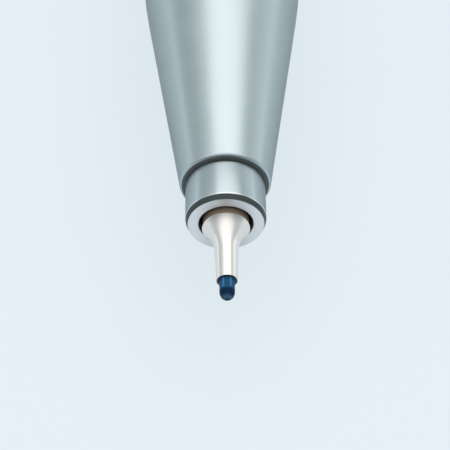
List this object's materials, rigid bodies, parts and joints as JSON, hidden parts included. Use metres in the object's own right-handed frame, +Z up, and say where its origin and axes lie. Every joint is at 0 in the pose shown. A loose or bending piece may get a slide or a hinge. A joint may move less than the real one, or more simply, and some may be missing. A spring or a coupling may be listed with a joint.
{
  "type": "fineliner pen",
  "caption": "Capped fineliner pen with a satin metal tapered grip, stepped nose collar, flared metal tip, round blue nib, replaceable refill and sprung clip, lying on its clip with the cap posted.",
  "frame": {"origin": "on the pen's axis, at the mouth of the barrel where the grip screws in", "axes": "+Y along the pen from nib to cap, +Z up as the pen lies on a table, with the clip straight down"},
  "size_m": [0.0116, 0.1577, 0.0134],
  "materials": {
    "satin_metal": "satin",
    "turned_steel": "finely turned",
    "polished_trim": "polished",
    "polished_nickel": "polished nickel",
    "nib_fibre": "inked blue",
    "tan_plastic": "matt",
    "refill_plastic": "moulded",
    "reservoir_fibre": "inked fibre",
    "black_plastic": "matt",
    "brass": "turned",
    "rubber": "matt",
    "spring_steel": "drawn wire"
  },
  "bodies": {
    "barrel": {"barrel_tube": "satin_metal", "barrel_bush": "brass", "tail_plug": "satin_metal", "refill_spring": "spring_steel"},
    "joint_ring": {"joint_ring": "polished_trim"},
    "section": {"section_shell": "satin_metal", "section_coupling": "brass", "coupling_o_ring": "rubber", "snap_ring": "black_plastic", "nose_collar": "turned_steel"},
    "refill": {"fibre_nib": "nib_fibre", "nib_sleeve": "polished_nickel", "nib_holder": "tan_plastic", "refill_tube": "refill_plastic", "ink_reservoir": "reservoir_fibre", "refill_plug": "refill_plastic"},
    "cap": {"cap_tube": "satin_metal", "cap_lip_ring": "polished_trim", "inner_cap": "black_plastic", "cap_head": "polished_trim", "cap_finial": "polished_trim", "clip_pin": "spring_steel", "clip_spring": "spring_steel"},
    "clip": {"clip": "polished_trim"}
  },
  "joints": [
    {"name": "section_back_off", "type": "slide", "parent": "barrel", "child": "joint_ring", "axis": [0, -1, 0], "range_m": [0, 0.006], "deforming": ["refill_spring"]},
    {"name": "section_unscrew", "type": "hinge", "parent": "joint_ring", "child": "section", "pos_m": [0, 0, 0], "axis": [0, -1, 0], "range_deg": [0, 2880]},
    {"name": "refill_press", "type": "slide", "parent": "section", "child": "refill", "axis": [0, 1, 0], "range_m": [0, 0.0012], "stiffness_N_per_m": 400, "deforming": ["refill_spring"]},
    {"name": "cap_pull", "type": "slide", "parent": "barrel", "child": "cap", "axis": [0, 1, 0], "range_m": [0, 0.03]},
    {"name": "clip_lift", "type": "hinge", "parent": "cap", "child": "clip", "pos_m": [0, 0.1115, -0.00373], "axis": [1, 0, 0], "range_deg": [0, 6], "stiffness_Nm_per_rad": 1, "deforming": ["clip_spring"]}
  ],
  "couplings": [
    {"joint": "section_unscrew", "follows": "section_back_off", "rad_per_m": 8377.6}
  ]
}
